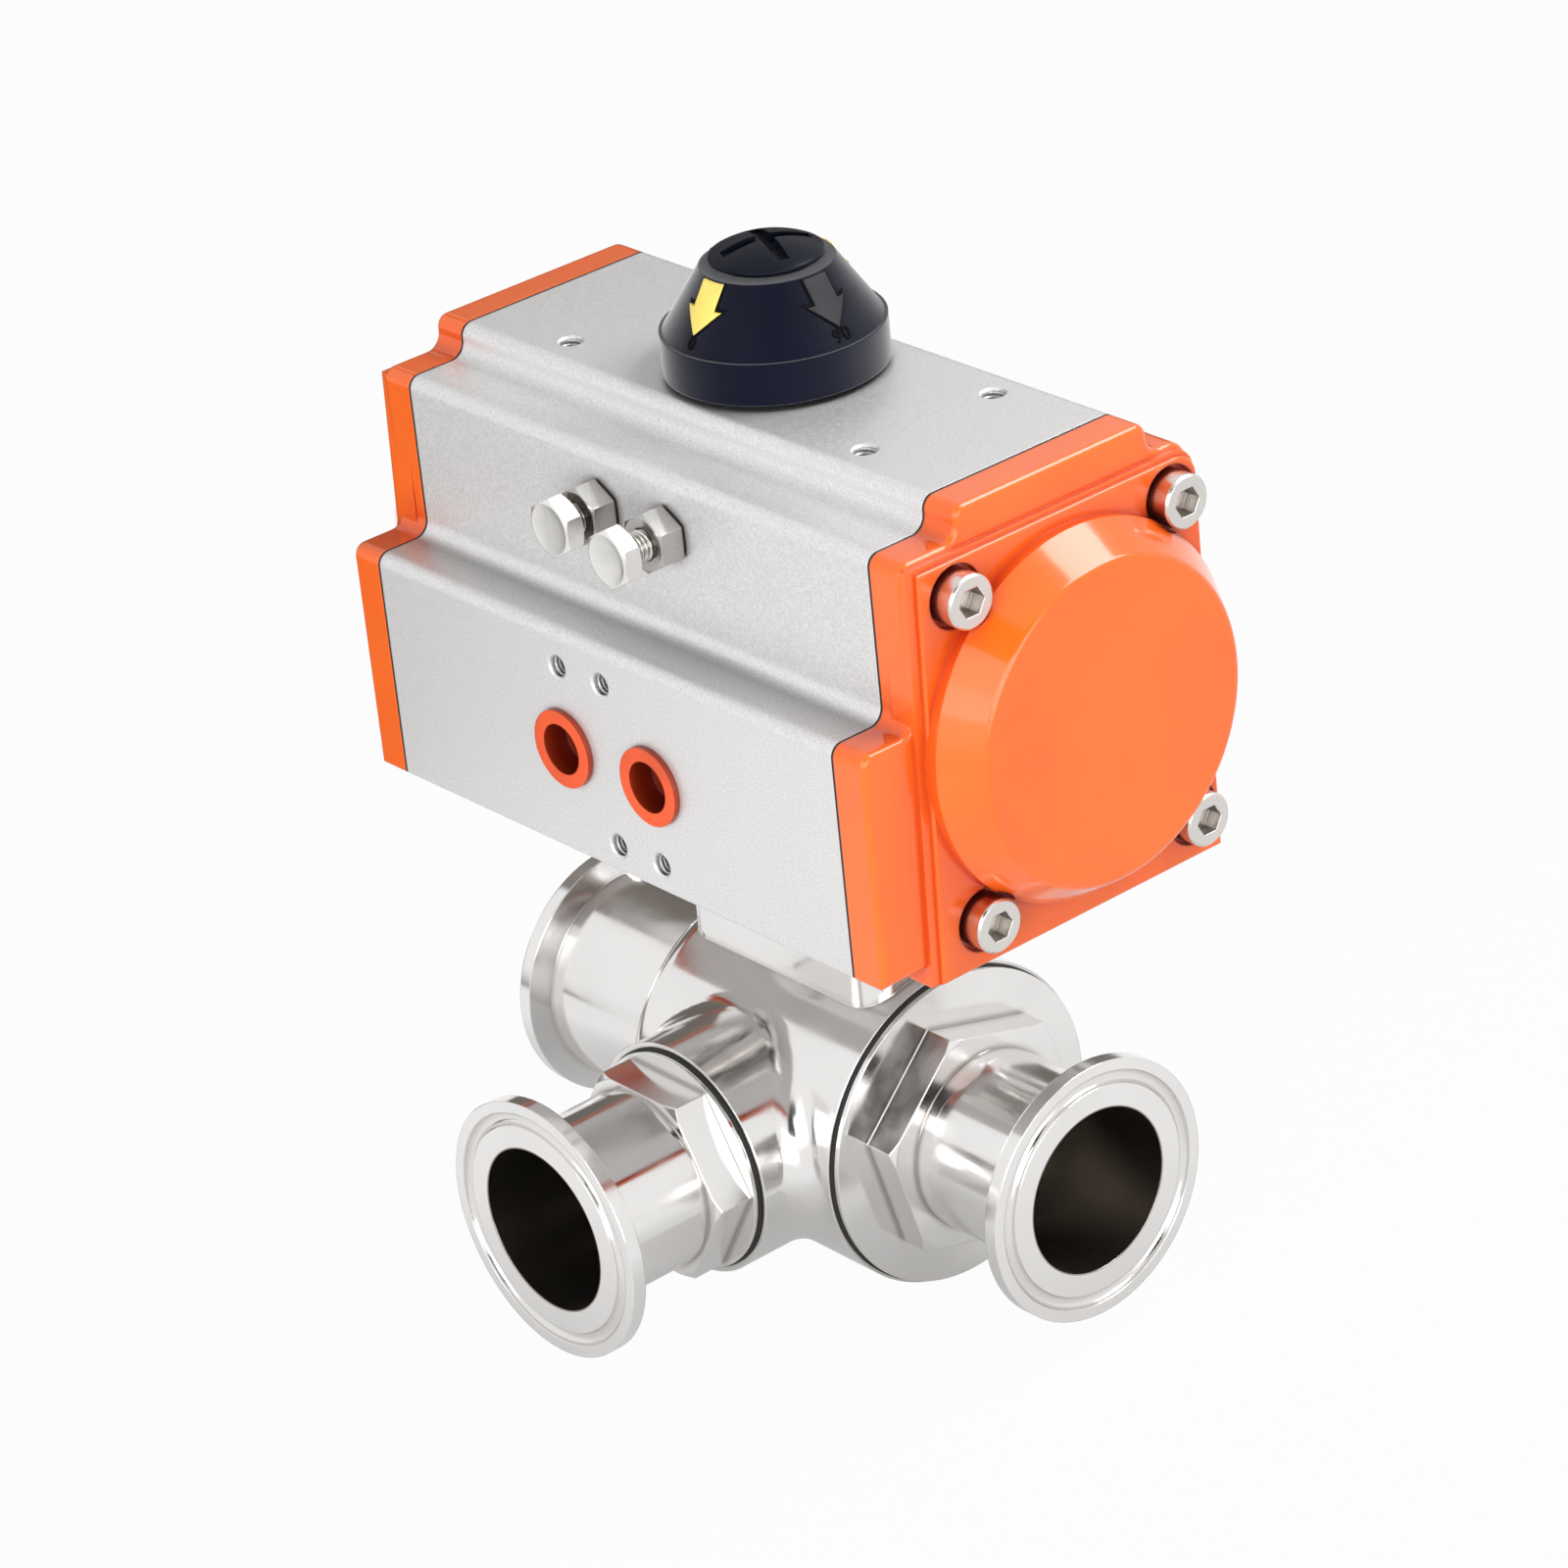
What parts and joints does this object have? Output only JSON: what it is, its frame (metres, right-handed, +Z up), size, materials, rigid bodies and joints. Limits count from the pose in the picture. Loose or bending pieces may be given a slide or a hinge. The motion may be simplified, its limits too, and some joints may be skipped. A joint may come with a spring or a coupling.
{
  "type": "pneumatic three-way valve",
  "caption": "Quarter-turn rack-and-pinion pneumatic actuator on a sanitary three-way ball valve with clamp ferrules and a round position indicator.",
  "frame": {"origin": "middle of the actuator's top face, on the shaft axis", "axes": "+Z up along the shaft, +X along the pistons towards the right-hand port, -Y towards the front port and the air ports"},
  "size_m": [0.1636, 0.1063, 0.2002],
  "materials": {
    "anodised_aluminium": "satin bead-blasted anodised",
    "orange_paint": "gloss",
    "polished_stainless": "mirror polished",
    "stainless_hardware": "bright",
    "orange_plastic": "gloss",
    "black_plastic": "semi-gloss",
    "yellow_plastic": "satin",
    "black_rubber": "matt",
    "white_polymer": "matt",
    "machined_steel": "machined",
    "cast_aluminium": "as cast"
  },
  "bodies": {
    "housing": {"actuator_body": "anodised_aluminium", "end_cap_right": "orange_paint", "end_cap_left": "orange_paint", "cap_gasket_right": "black_rubber", "cap_gasket_left": "black_rubber", "cap_screws_right": "stainless_hardware", "cap_screws_left": "stainless_hardware", "port_plugs": "orange_plastic", "stop_lock_nuts": "stainless_hardware", "stop_bolt_seals": "black_rubber", "upper_bearing": "white_polymer", "lower_bearing": "white_polymer", "thrust_washer": "white_polymer", "valve_body": "polished_stainless", "connector_right": "polished_stainless", "connector_front": "polished_stainless", "connector_gasket_right": "black_rubber", "connector_gasket_front": "black_rubber", "seat_right": "white_polymer", "seat_rear": "white_polymer", "seat_left": "white_polymer", "seat_front": "white_polymer", "stem_thrust_ring": "white_polymer", "stem_packing": "white_polymer", "packing_gland": "polished_stainless", "mounting_screws": "stainless_hardware"},
    "shaft": {"pinion": "machined_steel", "stop_cam": "machined_steel", "shaft_circlip": "machined_steel", "shaft_oring_upper": "black_rubber", "shaft_oring_lower": "black_rubber", "indicator_housing": "black_plastic", "indicator_knob": "black_plastic", "indicator_screw": "stainless_hardware", "indicator_arrows_yellow": "yellow_plastic", "indicator_arrows_black": "black_plastic", "valve_stem": "polished_stainless", "valve_ball": "polished_stainless"},
    "right_piston": {"piston_right": "cast_aluminium", "piston_oring_right": "black_rubber", "piston_band_right": "white_polymer", "piston_pad_right": "white_polymer"},
    "left_piston": {"piston_left": "cast_aluminium", "piston_oring_left": "black_rubber", "piston_band_left": "white_polymer", "piston_pad_left": "white_polymer"},
    "right_stop": {"travel_stop_bolt_right": "stainless_hardware"},
    "left_stop": {"travel_stop_bolt_left": "stainless_hardware"}
  },
  "joints": [
    {"name": "shaft_turn", "type": "hinge", "parent": "housing", "child": "shaft", "pos_m": [0, 0, 0], "axis": [0, 0, 1], "range_deg": [0, 90]},
    {"name": "right_piston_stroke", "type": "slide", "parent": "housing", "child": "right_piston", "axis": [1, 0, 0], "range_m": [0, 0.01571]},
    {"name": "left_piston_stroke", "type": "slide", "parent": "housing", "child": "left_piston", "axis": [-1, 0, 0], "range_m": [0, 0.01571]},
    {"name": "right_stop_adjust", "type": "slide", "parent": "housing", "child": "right_stop", "axis": [0, -1, 0], "range_m": [0, 0.003]},
    {"name": "left_stop_adjust", "type": "slide", "parent": "housing", "child": "left_stop", "axis": [0, -1, 0], "range_m": [0, 0.003]}
  ],
  "couplings": [
    {"joint": "right_piston_stroke", "follows": "shaft_turn", "m_per_rad": 0.01},
    {"joint": "left_piston_stroke", "follows": "shaft_turn", "m_per_rad": 0.01}
  ]
}
